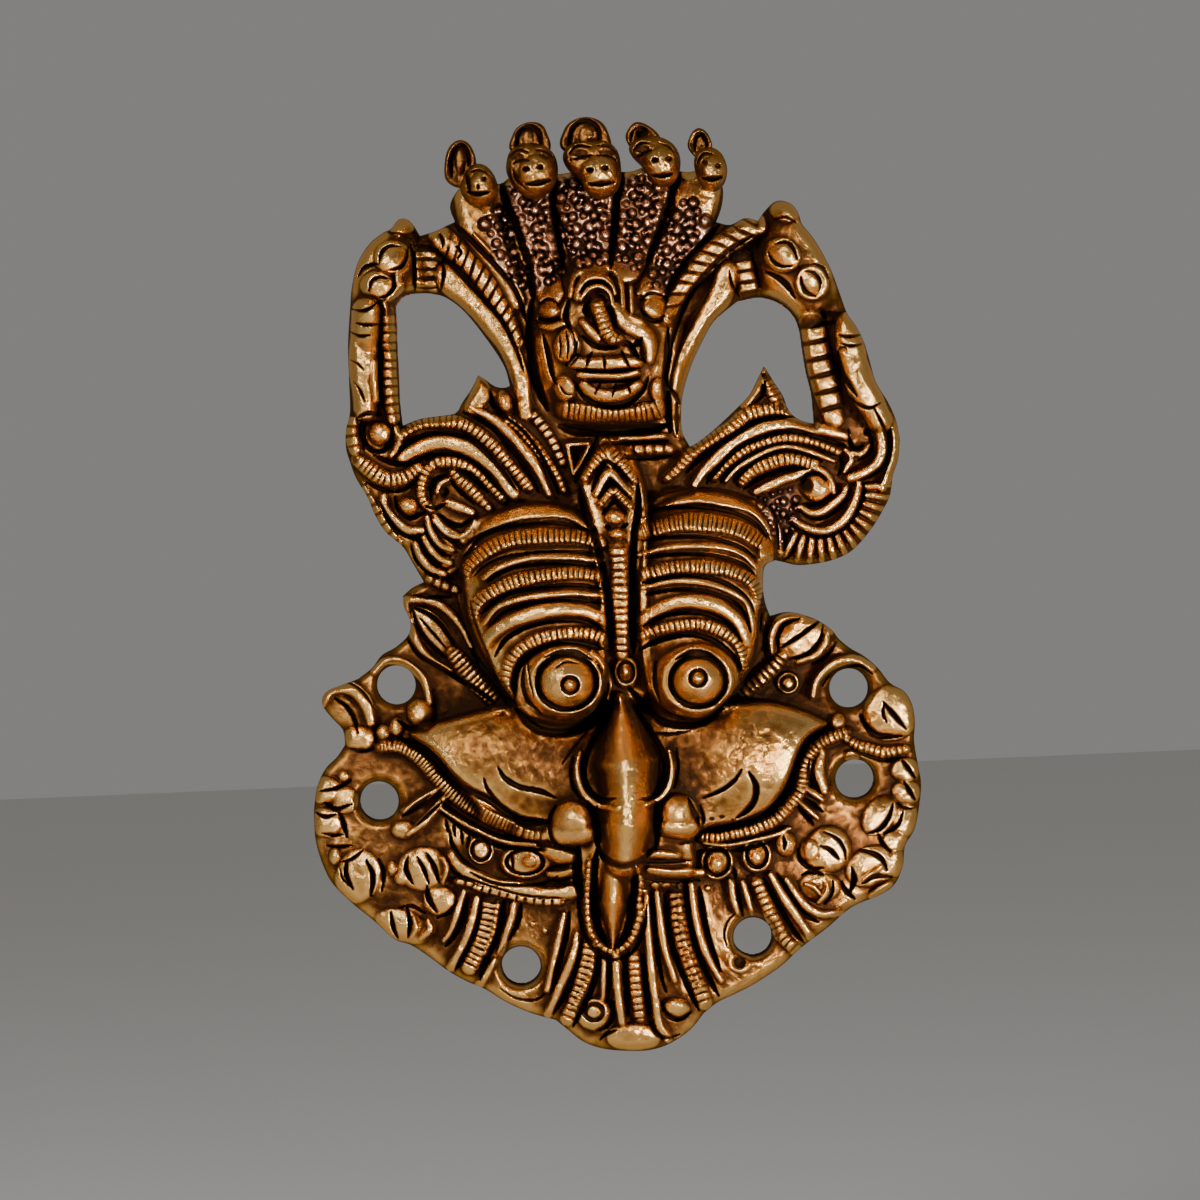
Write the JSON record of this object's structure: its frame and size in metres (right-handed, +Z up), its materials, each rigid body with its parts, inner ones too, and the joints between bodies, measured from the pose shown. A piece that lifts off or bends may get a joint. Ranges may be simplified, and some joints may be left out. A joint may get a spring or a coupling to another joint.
{
  "type": "brass face wall hanging",
  "caption": "Hollow-backed cast brass guardian face under a five-headed snake hood, hung flat on a wall.",
  "frame": {"origin": "on the flat back of the hood, which bears on the wall", "axes": "+Z up as hung, -Y out of the wall towards the viewer, +X to the viewer's right"},
  "size_m": [0.1537, 0.0512, 0.2345],
  "materials": {
    "brass": "worn antique brass with dark recesses"
  },
  "bodies": {
    "root": {"mask": "brass"}
  },
  "joints": []
}
